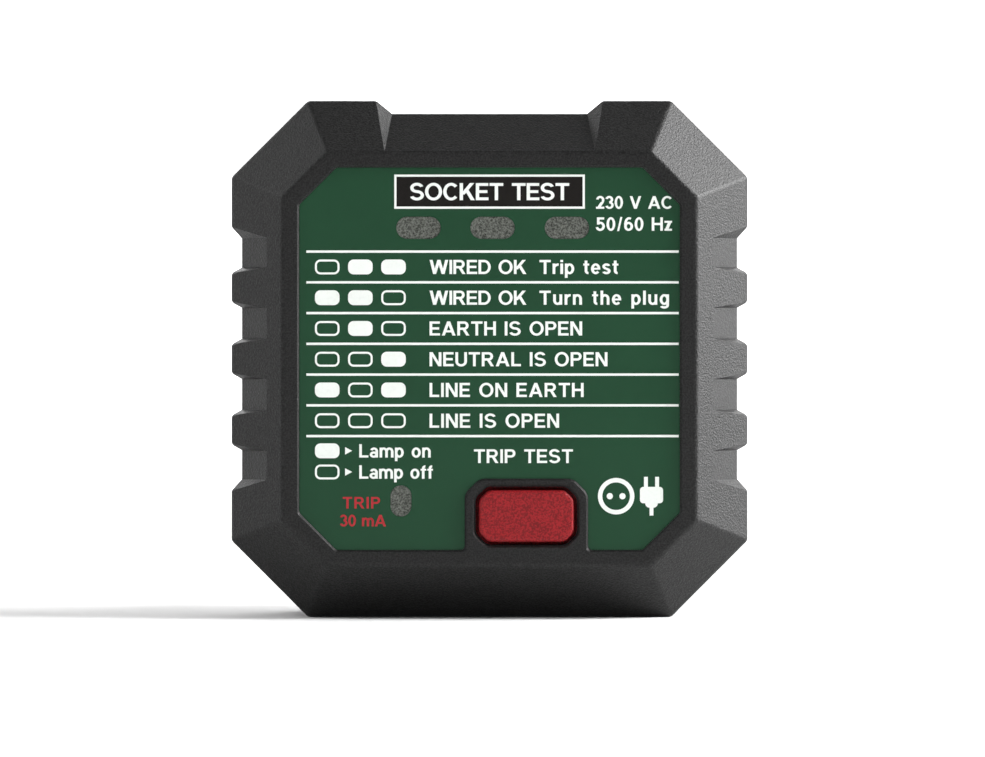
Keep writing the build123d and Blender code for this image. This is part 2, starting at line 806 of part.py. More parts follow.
# The retainer's screws point the other way, towards the plug face.
length, head, head_height = retainer_screw_size
cross_level = retainer_level + retainer_thickness + (1 - cross_depth) * head_height
with BuildPart() as retainer_screws:
    for at in retainer_screws_at:
        extrude(disc(retainer_level + retainer_thickness - length, retainer_pilot, at), amount=length)
        extrude(disc(retainer_level + retainer_thickness, head, at), amount=head_height)
        with BuildSketch(level(cross_level)):
            with Locations(at):
                Rectangle(cross_reach * head, cross_width * head)
                Rectangle(cross_width * head, cross_reach * head)
        extrude(amount=cross_depth * head_height, mode=Mode.SUBTRACT)
save(retainer_screws, "retainer_screws")
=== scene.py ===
"""Plug-in outlet tester: materials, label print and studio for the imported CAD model."""

from math import cos, pi, radians, sin

import bmesh
import bpy
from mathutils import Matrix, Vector
from mathutils.geometry import delaunay_2d_cdt


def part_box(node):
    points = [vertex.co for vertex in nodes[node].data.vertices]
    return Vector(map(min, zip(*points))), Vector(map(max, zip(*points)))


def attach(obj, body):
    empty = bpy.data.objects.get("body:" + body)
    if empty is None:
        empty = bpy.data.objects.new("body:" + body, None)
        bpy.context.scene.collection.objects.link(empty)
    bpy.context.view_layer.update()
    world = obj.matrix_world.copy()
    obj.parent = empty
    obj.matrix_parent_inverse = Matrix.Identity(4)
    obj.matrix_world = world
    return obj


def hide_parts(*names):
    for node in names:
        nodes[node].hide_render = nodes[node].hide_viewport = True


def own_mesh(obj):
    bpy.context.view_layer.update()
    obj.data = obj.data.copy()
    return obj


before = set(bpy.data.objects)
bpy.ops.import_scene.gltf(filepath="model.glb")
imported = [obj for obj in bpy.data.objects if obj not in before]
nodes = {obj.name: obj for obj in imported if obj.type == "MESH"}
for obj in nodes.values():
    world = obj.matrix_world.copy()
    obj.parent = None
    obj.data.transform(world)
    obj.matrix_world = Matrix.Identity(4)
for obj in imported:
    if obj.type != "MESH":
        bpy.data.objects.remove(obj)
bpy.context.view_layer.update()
MM = 0.001


# ---- materials ------------------------------------------------------------------------------


class Finish:
    """A procedural material under construction: one principled shader and its texture nodes."""

    def __init__(self, name, colour, roughness, metallic=0.0, **constants):
        self.material = bpy.data.materials.new(name)
        self.material.use_nodes = True
        self.tree = self.material.node_tree
        self.shader = self.tree.nodes["Principled BSDF"]
        self.shader.inputs["Base Color"].default_value = (*colour, 1.0)
        self.shader.inputs["Roughness"].default_value = roughness
        self.shader.inputs["Metallic"].default_value = metallic
        for socket, value in constants.items():
            self.shader.inputs[socket.replace("_", " ")].default_value = value
        self.place = self.node("ShaderNodeTexCoord").outputs["Object"]
        self.bump = None

    def node(self, kind, **inputs):
        made = self.tree.nodes.new(kind)
        for socket, value in inputs.items():
            made.inputs[socket.replace("_", " ")].default_value = value
        return made

    def link(self, source, target):
        self.tree.links.new(source, target)

    def noise(self, size, detail=2.0, roughness=0.5):
        """Noise with blotches of about this size, in metres."""
        made = self.node("ShaderNodeTexNoise", Scale=1.0 / size, Detail=detail, Roughness=roughness)
        self.link(self.place, made.inputs["Vector"])
        return made.outputs["Fac"]

    def cells(self, size):
        """Distance to the nearest of random points about this far apart, in metres."""
        made = self.node("ShaderNodeTexVoronoi", Scale=1.0 / size)
        self.link(self.place, made.inputs["Vector"])
        return made.outputs["Distance"]

    def ramp(self, factor, stops):
        """Maps a factor through (position, colour) stops."""
        made = self.node("ShaderNodeValToRGB")
        self.link(factor, made.inputs["Fac"])
        band = made.color_ramp
        while len(band.elements) < len(stops):
            band.elements.new(0.5)
        for element, (position, colour) in zip(band.elements, stops):
            element.position = position
            element.color = (*colour, 1.0)
        return made.outputs["Color"]

    def span(self, factor, low, high):
        """Maps a 0 to 1 factor to low to high."""
        made = self.node("ShaderNodeMapRange", To_Min=low, To_Max=high)
        self.link(factor, made.inputs["Value"])
        return made.outputs["Result"]

    def paint(self, colours, factor, spread=(0.35, 0.65)):
        """Base colour that wanders between two colours."""
        stops = list(zip(spread, colours))
        self.link(self.ramp(factor, stops), self.shader.inputs["Base Color"])

    def rough(self, factor, low, high):
        self.link(self.span(factor, low, high), self.shader.inputs["Roughness"])

    def raise_by(self, height, depth):
        """Adds a bump of this depth in metres, on top of any bump added before."""
        made = self.node("ShaderNodeBump", Strength=1.0, Distance=depth)
        self.link(height, made.inputs["Height"])
        if self.bump:
            self.link(self.bump, made.inputs["Normal"])
        self.bump = made.outputs["Normal"]
        self.link(self.bump, self.shader.inputs["Normal"])


def grained_plastic(name, dark, light, roughness, depth=0.06 * MM):
    """Moulded plastic with a spark-eroded grain."""
    grain = 0.22 * MM
    finish = Finish(name, dark, roughness, Specular_IOR_Level=0.25)
    fine = finish.noise(grain, 1.0, 0.5)
    finish.paint((dark, light), fine, (0.36, 0.64))
    finish.rough(finish.noise(grain * 1.5, 2.0), roughness - 0.10, roughness + 0.10)
    finish.raise_by(finish.cells(grain * 1.6), depth * 0.3)
    finish.raise_by(fine, depth)
    return finish.material


def film(name, colour, shade):
    """Satin printed film: almost even colour, with a very fine tooth."""
    finish = Finish(name, colour, 0.42, Specular_IOR_Level=0.25)
    finish.paint((shade, colour), finish.noise(9 * MM, 2.0), (0.3, 0.7))
    finish.raise_by(finish.noise(0.3 * MM, 2.0), 0.004 * MM)
    return finish.material


def ink(name, colour, shade, specular=0.3):
    """Screen-printed ink with slightly uneven cover."""
    finish = Finish(name, colour, 0.5, Specular_IOR_Level=specular)
    finish.paint((shade, colour), finish.noise(0.4 * MM, 3.0), (0.25, 0.5))
    finish.raise_by(finish.noise(0.25 * MM, 2.0), 0.004 * MM)
    return finish.material


def frosted_window(name):
    """Smoked light window with a coarse sparkling grain."""
    finish = Finish(name, (0.085, 0.085, 0.075), 0.45, Specular_IOR_Level=0.3)
    speckle = finish.noise(0.24 * MM, 3.0, 0.7)
    finish.paint(((0.022, 0.024, 0.020), (0.155, 0.165, 0.145)), speckle, (0.38, 0.62))
    finish.raise_by(speckle, 0.06 * MM)
    return finish.material


def plated_metal(name, colour, dark, roughness):
    """Plated metal with faint wear."""
    finish = Finish(name, colour, roughness, metallic=1.0)
    cloud = finish.noise(4 * MM, 4.0, 0.6)
    finish.paint((dark, colour), cloud, (0.3, 0.7))
    finish.rough(finish.noise(0.6 * MM, 4.0, 0.7), roughness - 0.06, roughness + 0.12)
    finish.raise_by(finish.noise(0.15 * MM, 2.0), 0.002 * MM)
    return finish.material


def moulded(name, colour, shade, roughness):
    """Small plain moulding, board part or wire."""
    finish = Finish(name, colour, roughness)
    finish.paint((shade, colour), finish.noise(0.8 * MM, 3.0), (0.3, 0.7))
    finish.raise_by(finish.noise(0.2 * MM, 2.0), 0.006 * MM)
    return finish.material


def banded(name, colour, bands, low, high):
    """Component body with colour bands across X between two places, in metres."""
    first_band, band_pitch, band_width = 0.28, 0.14, 0.07
    finish = Finish(name, colour, 0.4)
    split = finish.node("ShaderNodeSeparateXYZ")
    finish.link(finish.place, split.inputs["Vector"])
    along = finish.node("ShaderNodeMapRange", From_Min=low, From_Max=high)
    finish.link(split.outputs["X"], along.inputs["Value"])
    stops = [(0.0, colour)]
    for index, band in enumerate(bands):
        start = first_band + band_pitch * index
        stops += [(start, band), (start + band_width, colour)]
    painted = finish.ramp(along.outputs["Result"], stops)
    painted.node.color_ramp.interpolation = "CONSTANT"
    finish.link(painted, finish.shader.inputs["Base Color"])
    finish.raise_by(finish.noise(0.3 * MM), 0.01 * MM)
    return finish.material


def solder_resist(name):
    """Green board lacquer with copper tracks that show through as a brick-like pattern."""
    finish = Finish(name, (0.012, 0.10, 0.035), 0.25, Coat_Weight=0.3)
    tracks = finish.node("ShaderNodeTexBrick", Scale=140.0, Mortar_Size=0.03)
    tracks.inputs["Color1"].default_value = (0.012, 0.10, 0.035, 1.0)
    tracks.inputs["Color2"].default_value = (0.015, 0.12, 0.045, 1.0)
    tracks.inputs["Mortar"].default_value = (0.03, 0.20, 0.07, 1.0)
    turn = finish.node("ShaderNodeMapping")
    turn.inputs["Rotation"].default_value = (pi / 2, 0, 0)
    finish.link(finish.place, turn.inputs["Vector"])
    finish.link(turn.outputs["Vector"], tracks.inputs["Vector"])
    finish.link(tracks.outputs["Color"], finish.shader.inputs["Base Color"])
    finish.raise_by(tracks.outputs["Fac"], 0.02 * MM)
    return finish.material


CASE = grained_plastic("case_black", (0.005, 0.005, 0.005), (0.018, 0.018, 0.018), 0.42)
BUTTON = grained_plastic("button_red", (0.16, 0.004, 0.007), (0.35, 0.012, 0.016), 0.42, 0.10 * MM)
LABEL = film("label_green", (0.0082, 0.0545, 0.0225), (0.0072, 0.0510, 0.0208))
WHITE = ink("print_white", (0.88, 0.92, 0.88), (0.84, 0.88, 0.84))
RED = ink("print_red", (0.42, 0.022, 0.028), (0.33, 0.018, 0.022))
PLATE = ink("print_black", (0.0090, 0.0075, 0.0065), (0.0070, 0.0058, 0.0050), 0.15)
WINDOW = frosted_window("window_smoked")
NICKEL = plated_metal("nickel", (0.58, 0.555, 0.51), (0.50, 0.475, 0.43), 0.27)
STRIP = plated_metal("contact_strip", (0.55, 0.53, 0.49), (0.46, 0.44, 0.40), 0.33)
ZINC = plated_metal("screw_zinc", (0.46, 0.47, 0.49), (0.36, 0.37, 0.39), 0.34)
STEEL = plated_metal("spring_steel", (0.60, 0.60, 0.62), (0.42, 0.42, 0.44), 0.22)

RESISTOR_LEAD = 2.15 * MM    # bare lead at each end of the resistors
low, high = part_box("resistors")
finishes = {
    "front_housing": CASE,
    "rear_housing": CASE,
    "plug_body": CASE,
    "face_label": LABEL,
    "test_button": BUTTON,
    "live_pin": NICKEL,
    "neutral_pin": NICKEL,
    "earth_pin_socket": NICKEL,
    "earth_strap": STRIP,
    "housing_screws": ZINC,
    "pcb_screws": ZINC,
    "retainer_screws": ZINC,
    "button_spring": STEEL,
    "test_switch": moulded("switch_black", (0.030, 0.030, 0.032), (0.022, 0.022, 0.024), 0.4),
    "switch_plunger": moulded("plunger_white", (0.75, 0.74, 0.70), (0.66, 0.65, 0.60), 0.45),
    "main_pcb": solder_resist("board_green"),
    "resistors": banded(
        "resistor_beige",
        (0.62, 0.47, 0.28),
        [(0.10, 0.03, 0.01), (0.02, 0.02, 0.02), (0.55, 0.22, 0.02), (0.55, 0.40, 0.08)],
        low.x + RESISTOR_LEAD,
        high.x - RESISTOR_LEAD,
    ),
    "power_resistor": moulded("resistor_grey", (0.36, 0.40, 0.42), (0.28, 0.32, 0.34), 0.7),
    "diodes": moulded("diode_black", (0.025, 0.025, 0.027), (0.018, 0.018, 0.02), 0.3),
    "capacitor": moulded("capacitor_yellow", (0.74, 0.50, 0.06), (0.62, 0.40, 0.04), 0.35),
    "fuse": moulded("fuse_green", (0.08, 0.28, 0.14), (0.06, 0.22, 0.10), 0.3),
    "pin_retainer": moulded("insulator_grey", (0.38, 0.38, 0.37), (0.30, 0.30, 0.30), 0.7),
    "lead_live": moulded("wire_brown", (0.16, 0.060, 0.028), (0.12, 0.045, 0.020), 0.35),
    "lead_neutral": moulded("wire_blue", (0.02, 0.10, 0.42), (0.015, 0.08, 0.34), 0.35),
    "lead_earth": moulded("wire_green_yellow", (0.42, 0.60, 0.04), (0.05, 0.28, 0.05), 0.35),
}
WINDOWS = ["window_left", "window_middle", "window_right", "window_trip"]
LAMPS = ["led_left", "led_middle", "led_right", "led_trip"]
CLEAR = moulded("lamp_clear", (0.80, 0.80, 0.76), (0.70, 0.70, 0.66), 0.15)
finishes.update({name: WINDOW for name in WINDOWS})
finishes.update({name: CLEAR for name in LAMPS})
for name, finish in finishes.items():
    nodes[name].data.materials.clear()
    nodes[name].data.materials.append(finish)


# ---- smooth shading on the CAD pieces -----------------------------------------------------------


SHARP_ANGLE = 32.0


def smooth(name):
    """Shades a CAD piece's rounded edges smoothly and keeps its flats flat and its corners crisp."""
    piece = nodes[name]
    for face in piece.data.polygons:
        face.use_smooth = True
    piece.data.set_sharp_from_angle(angle=radians(SHARP_ANGLE))
    shade = piece.modifiers.new("shade", "WEIGHTED_NORMAL")
    shade.keep_sharp = True
    shade.weight = 100


for name in nodes:
    smooth(name)


# ---- label print ------------------------------------------------------------------------------
# The print lies on the label's front surface, which looks along -Y. Places are in millimetres
# right of and above the label's centre line.
label_low, label_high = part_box("face_label")
PRINT_Y = label_low.y
PRINT_THICKNESS = 0.025 * MM
PRINT_SINK = 0.01 * MM


def add_piece(name, shape, finish):
    """Makes an object of a bmesh and lets it ride on the root body."""
    mesh = bpy.data.meshes.new(name)
    shape.to_mesh(mesh)
    shape.free()
    mesh.materials.append(finish)
    piece = bpy.data.objects.new(name, mesh)
    bpy.context.scene.collection.objects.link(piece)
    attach(piece, "root")
    return piece


def rim_of(triangles):
    """The directed edges that only one triangle has."""
    rim = set()
    for triangle in triangles:
        for a, b in zip(triangle, triangle[1:] + triangle[:1]):
            if (b, a) in rim:
                rim.remove((b, a))
            else:
                rim.add((a, b))
    return sorted(rim)


def holds(polygon, x, z):
    """Whether a polygon has a point inside it."""
    inside = False
    for (x0, z0), (x1, z1) in zip(polygon, polygon[1:] + polygon[:1]):
        if (z0 > z) != (z1 > z) and x < x0 + (x1 - x0) * (z - z0) / (z1 - z0):
            inside = not inside
    return inside


def union(polygons):
    """Points and triangles of the area that the polygons cover together."""
    corners, edges = [], []
    for polygon in polygons:
        first, count = len(corners), len(polygon)
        edges += [(first + i, first + (i + 1) % count) for i in range(count)]
        corners += [Vector(point) for point in polygon]
    points, _, triangles, _, _, _ = delaunay_2d_cdt(corners, edges, [], 0, 0.0001)
    boxes = []
    for polygon in polygons:
        across, up = zip(*polygon)
        boxes.append((min(across), max(across), min(up), max(up), polygon))
    covered = []
    for triangle in triangles:
        x, z = sum((points[i] for i in triangle), Vector((0, 0))) / 3
        near = [box[4] for box in boxes if box[0] < x < box[1] and box[2] < z < box[3]]
        if any(holds(polygon, x, z) for polygon in near):
            covered.append(triangle)
    return points, covered


def printed(name, polygons, finish, lift=0.0):
    """One thin print piece: the union of flat polygons of (x, z) points in millimetres."""
    points, triangles = union(polygons)
    shape = bmesh.new()
    front = PRINT_Y - PRINT_THICKNESS - lift * MM
    back = PRINT_Y + PRINT_SINK - lift * MM
    near = [shape.verts.new((x * MM, front, z * MM)) for x, z in points]
    far = [shape.verts.new((x * MM, back, z * MM)) for x, z in points]
    for triangle in triangles:
        shape.faces.new([near[i] for i in triangle])
        shape.faces.new([far[i] for i in reversed(triangle)])
    for a, b in rim_of(triangles):
        shape.faces.new((near[b], near[a], far[a], far[b]))
    loose = [vertex for vertex in shape.verts if not vertex.link_faces]
    bmesh.ops.delete(shape, geom=loose, context="VERTS")
    return add_piece(name, shape, finish)


def bar(x0, z0, x1, z1):
    """An upright rectangle."""
    return [(x0, z0), (x1, z0), (x1, z1), (x0, z1)]


def rounded(x, z, width, height, radius, steps=6):
    """Rounded rectangle round a centre."""
    points = []
    corners = [(1, 1, 0), (-1, 1, 90), (-1, -1, 180), (1, -1, 270)]
    for side_x, side_z, start in corners:
        middle_x = x + side_x * (width / 2 - radius)
        middle_z = z + side_z * (height / 2 - radius)
        for step in range(steps + 1):
            turn = radians(start + 90 * step / steps)
            points.append((middle_x + radius * cos(turn), middle_z + radius * sin(turn)))
    return points


def band(outer, inner):
    """The space between two outlines with the same number of points, as four-sided polygons."""
    strips = []
    for i in range(len(outer)):
        j = (i + 1) % len(outer)
        strips.append([outer[i], outer[j], inner[j], inner[i]])
    return strips


# Letters are drawn from strokes, in a space where a capital is 1 high and stands on 0.
STEM = 0.195
BEAM = 0.165
SMALL = 0.74                # height of the small letters


def slab(x0, z0, x1, z1, width=0.215):
    """A slanted stroke with level ends, given by the middles of its ends."""
    half = width / 2
    return [(x0 - half, z0), (x0 + half, z0), (x1 + half, z1), (x1 - half, z1)]


def bow(x, z, half_width, half_height, start, end):
    """A stroke along an ellipse, from one angle to another in degrees."""
    steps = round(abs(end - start) / 10)
    angles = [radians(start + (end - start) * step / steps) for step in range(steps + 1)]
    outer = [(x + half_width * cos(a), z + half_height * sin(a)) for a in angles]
    inner_width, inner_height = half_width - STEM, half_height - BEAM
    inner = [(x + inner_width * cos(a), z + inner_height * sin(a)) for a in reversed(angles)]
    return outer + inner


def loop(x, z, half_width, half_height):
    """A closed ring of two bows."""
    return [bow(x, z, half_width, half_height, 0, 180), bow(x, z, half_width, half_height, 180, 360)]


def stem(x=0.0, low=0.0, high=1.0):
    return bar(x, low, x + STEM, high)


def arch(x0, x1):
    """The shoulder and right leg of a small n."""
    half = (x1 - x0) / 2
    return [bow(x0 + half, 0.43, half, 0.325, 0, 180), stem(x1 - STEM, 0, 0.44)]


def cap_bowl(right):
    """The upper bowl of a P or an R."""
    turn = right - 0.31
    return [
        bar(0, 1 - BEAM, turn, 1),
        bar(0, 0.40, turn, 0.40 + BEAM),
        bow(turn, 0.70, 0.31, 0.30, -90, 90),
    ]


SMALL_RING = loop(0.33, 0.37, 0.33, 0.385)
# each letter: its width and its strokes
GLYPHS = {
    "A": (0.98, [slab(0.11, 0, 0.49, 1), slab(0.87, 0, 0.49, 1), bar(0.22, 0.22, 0.76, 0.37)]),
    "C": (0.90, [bow(0.47, 0.5, 0.47, 0.515, 42, 318)]),
    "D": (
        0.87,
        [stem(), bar(0, 0, 0.4, BEAM), bar(0, 1 - BEAM, 0.4, 1), bow(0.4, 0.5, 0.47, 0.5, -90, 90)],
    ),
    "E": (
        0.74,
        [stem(), bar(0, 0, 0.74, BEAM), bar(0, 0.42, 0.68, 0.42 + BEAM), bar(0, 1 - BEAM, 0.73, 1)],
    ),
    "H": (0.83, [stem(), stem(0.83 - STEM), bar(0, 0.42, 0.83, 0.42 + BEAM)]),
    "I": (STEM, [stem()]),
    "K": (0.88, [stem(), slab(0.16, 0.33, 0.72, 1, 0.25), slab(0.39, 0.62, 0.765, 0, 0.235)]),
    "L": (0.68, [stem(), bar(0, 0, 0.68, BEAM)]),
    "N": (0.84, [stem(), stem(0.84 - STEM), slab(0.11, 1, 0.73, 0, 0.22)]),
    "O": (1.0, loop(0.5, 0.5, 0.5, 0.515)),
    "P": (0.78, [stem(), *cap_bowl(0.78)]),
    "R": (0.86, [stem(), *cap_bowl(0.80), slab(0.46, 0.46, 0.745, 0, 0.225)]),
    "S": (0.82, [bow(0.41, 0.72, 0.39, 0.295, 18, 270), bow(0.41, 0.285, 0.41, 0.30, 90, -162)]),
    "T": (0.80, [bar(0, 1 - BEAM, 0.8, 1), stem(0.4 - STEM / 2)]),
    "U": (
        0.82,
        [stem(0, 0.33), stem(0.82 - STEM, 0.33), bow(0.41, 0.34, 0.41, 0.355, 180, 360)],
    ),
    "V": (0.92, [slab(0.11, 1, 0.46, 0), slab(0.81, 1, 0.46, 0)]),
    "W": (
        1.32,
        [slab(0.11, 1, 0.36, 0), slab(0.66, 1, 0.36, 0), slab(0.66, 1, 0.96, 0), slab(1.21, 1, 0.96, 0)],
    ),
    "a": (
        0.63,
        [*loop(0.30, 0.22, 0.30, 0.235), stem(0.62 - STEM, 0, 0.5), bow(0.32, 0.48, 0.30, 0.275, 0, 160)],
    ),
    "d": (0.66, [*SMALL_RING, stem(0.66 - STEM)]),
    "e": (0.66, [bow(0.33, 0.37, 0.33, 0.385, 0, 320), bar(0.1, 0.31, 0.655, 0.44)]),
    "f": (0.42, [stem(0.1, 0, 0.8), bow(0.36, 0.77, 0.26, 0.235, 90, 180), bar(0, 0.6, 0.42, SMALL)]),
    "g": (
        0.66,
        [*SMALL_RING, stem(0.66 - STEM, -0.03, SMALL), bow(0.33, -0.03, 0.33, 0.24, 205, 360)],
    ),
    "h": (0.64, [stem(), *arch(0, 0.64)]),
    "i": (STEM, [stem(0, 0, SMALL), stem(0, 0.84, 1)]),
    "l": (STEM, [stem()]),
    "m": (1.04, [stem(0, 0, SMALL), *arch(0, 0.615), *arch(0.42, 1.04)]),
    "n": (0.64, [stem(0, 0, SMALL), *arch(0, 0.64)]),
    "o": (0.68, loop(0.34, 0.37, 0.34, 0.385)),
    "p": (0.66, [*SMALL_RING, stem(0, -0.27, SMALL)]),
    "r": (0.42, [stem(0, 0, SMALL), bow(0.40, 0.40, 0.40, 0.35, 85, 180)]),
    "s": (0.60, [bow(0.30, 0.535, 0.285, 0.22, 18, 270), bow(0.30, 0.21, 0.30, 0.225, 90, -162)]),
    "t": (0.42, [stem(0.1, 0.2, 0.95), bow(0.37, 0.22, 0.27, 0.23, 180, 270), bar(0, 0.6, 0.42, SMALL)]),
    "u": (
        0.64,
        [stem(0, 0.3, SMALL), stem(0.64 - STEM, 0, SMALL), bow(0.32, 0.31, 0.32, 0.325, 180, 360)],
    ),
    "z": (0.56, [bar(0, 0, 0.56, 0.15), bar(0, 0.59, 0.56, SMALL), slab(0.14, 0.05, 0.42, 0.69, 0.25)]),
    "0": (0.66, loop(0.33, 0.5, 0.33, 0.515)),
    "2": (
        0.66,
        [
            bow(0.33, 0.69, 0.33, 0.325, -42, 170),
            slab(0.14, 0, 0.50, 0.53, 0.27),
            bar(0, 0, 0.65, BEAM),
        ],
    ),
    "3": (0.66, [bow(0.31, 0.725, 0.31, 0.29, -90, 165), bow(0.33, 0.285, 0.33, 0.30, -165, 90)]),
    "5": (
        0.66,
        [
            bar(0.09, 1 - BEAM, 0.61, 1),
            bar(0.07, 0.46, 0.07 + STEM, 1),
            bow(0.31, 0.33, 0.35, 0.345, -165, 125),
        ],
    ),
    "6": (0.66, [*loop(0.33, 0.325, 0.33, 0.34), bow(0.37, 0.5, 0.37, 0.515, 62, 195)]),
    "/": (0.42, [slab(0.09, -0.03, 0.33, 1.03, 0.15)]),
}
WORD_SPACE = 0.38            # between two words, as a part of the capitals' height


def words(name, text, x, z, cap, width, finish, lift=0.0):
    """Lettering from x rightwards with its baseline at z, spaced out to an overall width."""
    letters = [GLYPHS[letter] for letter in text if letter != " "]
    ink = sum(letter[0] for letter in letters)
    gap = (width / cap - ink - WORD_SPACE * text.count(" ")) / (len(text) - 1)
    polygons = []
    pen = 0.0
    for letter in text:
        if letter == " ":
            pen += WORD_SPACE + gap
            continue
        advance, strokes = GLYPHS[letter]
        for stroke in strokes:
            polygons.append([(x + cap * (pen + u), z + cap * v) for u, v in stroke])
        pen += advance + gap
    printed(name, polygons, finish, lift)


# ruled lines of the table
LINE_TOP = 14.4
LINE_PITCH = 4.13
LINE_HALF = 0.16
line_left, line_right = -24.6, 25.4
lines = [LINE_TOP - LINE_PITCH * k for k in range(7)]
printed("print_lines", [bar(line_left, z - LINE_HALF, line_right, z + LINE_HALF) for z in lines], WHITE)

# lamp symbols: one row for each state, filled where the lamp is lit
SYMBOL_X = (-21.8, -17.35, -12.9)
SYMBOL = (3.3, 2.0, 0.75)
STROKE = 0.27
states = ["011", "110", "010", "001", "101", "000"]
row_middle = [LINE_TOP - LINE_PITCH * (k + 0.5) for k in range(6)]
lit, unlit = [], []
for state, z in zip(states, row_middle):
    for x, mark in zip(SYMBOL_X, state):
        (lit if mark == "1" else unlit).append((x, z))
legend_z = (-12.36, -15.2)
lit.append((SYMBOL_X[0], legend_z[0]))
unlit.append((SYMBOL_X[0], legend_z[1]))
width, height, radius = SYMBOL
hollow = (width - 2 * STROKE, height - 2 * STROKE, radius - STROKE)
printed("print_lit", [rounded(x, z, *SYMBOL) for x, z in lit], WHITE)
unlit_bands = []
for x, z in unlit:
    unlit_bands += band(rounded(x, z, *SYMBOL), rounded(x, z, *hollow))
printed("print_unlit", unlit_bands, WHITE)
pointer_foot, pointer_tip, pointer_half = -19.4, -18.45, 0.5
pointers = [
    [(pointer_foot, z - pointer_half), (pointer_tip, z), (pointer_foot, z + pointer_half)] for z in legend_z
]
printed("print_pointers", pointers, WHITE)

# table text: each row's words with their left edge and width
TEXT_X = -8.06
SECOND_X = 6.7
CAP = 1.9
rows = [
    [("WIRED OK", TEXT_X, 13.0), ("Trip test", SECOND_X, 10.6)],
    [("WIRED OK", TEXT_X, 13.0), ("Turn the plug", SECOND_X, 17.4)],
    [("EARTH IS OPEN", TEXT_X, 20.5)],
    [("NEUTRAL IS OPEN", TEXT_X, 23.9)],
    [("LINE ON EARTH", TEXT_X, 20.7)],
    [("LINE IS OPEN", TEXT_X, 17.4)],
]
for number, (z, row) in enumerate(zip(row_middle, rows), 1):
    for column, (text, x, width) in enumerate(row, 1):
        words(f"print_row_{number}_{column}", text, x, z - CAP / 2, CAP, width, WHITE)
words("print_legend_on", "Lamp on", -17.5, legend_z[0] - 0.9, 1.8, 9.6, WHITE)
words("print_legend_off", "Lamp off", -17.5, legend_z[1] - 0.9, 1.8, 9.9, WHITE)
words("print_heading", "TRIP TEST", -2.1, -14.0, 1.85, 13.3, WHITE)
words("print_red_1", "TRIP", -19.7, -20.1, 1.55, 5.0, RED)
words("print_red_2", "30 mA", -20.1, -22.5, 1.55, 6.2, RED)
words("print_volts", "230 V AC", 14.3, 20.15, 1.7, 10.3, WHITE)
words("print_hertz", "50/60 Hz", 14.3, 17.2, 1.8, 10.2, WHITE)

# title plate
plate_width, plate_height = 25.6, 4.6
plate_z = 22.45
border = 0.3
title_cap, title_width = 2.3, 21.4
title_lift = 0.02            # the title lies this far in front of its plate
title_left, title_foot = -title_width / 2, plate_z - title_cap / 2
plate_edge = bar(-plate_width / 2, plate_z - plate_height / 2, plate_width / 2, plate_z + plate_height / 2)
plate_field = bar(
    -plate_width / 2 + border,
    plate_z - plate_height / 2 + border,
    plate_width / 2 - border,
    plate_z + plate_height / 2 - border,
)
printed("print_plate_border", band(plate_edge, plate_field), WHITE)
printed("print_plate", [plate_field], PLATE)
words("print_title", "SOCKET TEST", title_left, title_foot, title_cap, title_width, WHITE, title_lift)

# pictograms: a round wall socket with two holes, and a plug with two prongs
mark_z = -18.45
socket_x, socket_radius, socket_stroke = 17.0, 2.45, 0.6
hole_radius, hole_at = 0.42, 0.85
outer_ring = rounded(socket_x, mark_z, 2 * socket_radius, 2 * socket_radius, socket_radius, 12)
inner_radius = socket_radius - socket_stroke
inner_ring = rounded(socket_x, mark_z, 2 * inner_radius, 2 * inner_radius, inner_radius, 12)
holes = [
    rounded(socket_x + side * hole_at, mark_z, 2 * hole_radius, 2 * hole_radius, hole_radius)
    for side in (-1, 1)
]
printed("print_socket_mark", band(outer_ring, inner_ring) + holes, WHITE)
plug_x, plug_half, prong_half, prong_at = 21.75, 1.55, 0.26, 0.75
plug_mark = [
    rounded(plug_x, mark_z + 0.15, 2 * plug_half, 2.2, 0.45),
    rounded(plug_x, mark_z - 0.75, 1.7, 1.6, 0.6),
    bar(plug_x - prong_half, mark_z - 2.6, plug_x + prong_half, mark_z - 1.3),
]
for side in (-1, 1):
    prong_x = plug_x + side * prong_at
    plug_mark.append(bar(prong_x - prong_half, mark_z + 1.0, prong_x + prong_half, mark_z + 2.6))
printed("print_plug_mark", plug_mark, WHITE)


# ---- button spring --------------------------------------------------------------------------------


def coil_spring(name, node, finish, radius, wire, turns):
    """A compression spring along Y with a closed turn at each end, in place of its CAD solid.

    radius is the coil's, to the middle of the wire, and wire is the wire's own radius.
    """
    low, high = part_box(node)
    axis_x, axis_z = (low.x + high.x) / 2, (low.z + high.z) / 2
    back, front = high.y - wire, low.y + wire
    per_turn, sides = 36, 12
    rings = []
    for step in range(per_turn * (turns + 2) + 1):
        turn = step / per_turn
        part = min(max((turn - 1) / turns, 0.0), 1.0)
        # each closed end turn rises by the wire's thickness
        lift = 2 * wire * (min(turn, 1.0) + max(turn - turns - 1, 0.0))
        span = back - front - 4 * wire
        centre = Vector((
            axis_x + radius * cos(2 * pi * turn),
            back - lift - span * part,
            axis_z + radius * sin(2 * pi * turn),
        ))
        outward = Vector((cos(2 * pi * turn), 0, sin(2 * pi * turn)))
        spins = [2 * pi * side / sides for side in range(sides)]
        rings.append([centre + wire * (outward * cos(a) + Vector((0, sin(a), 0))) for a in spins])
    shape = bmesh.new()
    rows = [[shape.verts.new(point) for point in ring] for ring in rings]
    for a, b in zip(rows, rows[1:]):
        for side in range(sides):
            after = (side + 1) % sides
            shape.faces.new((a[side], a[after], b[after], b[side])).smooth = True
    shape.faces.new(rows[0])
    shape.faces.new(rows[-1])
    bmesh.ops.recalc_face_normals(shape, faces=shape.faces)
    piece = add_piece(name, shape, finish)
    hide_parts(node)
    return piece, Vector((axis_x, high.y, axis_z))


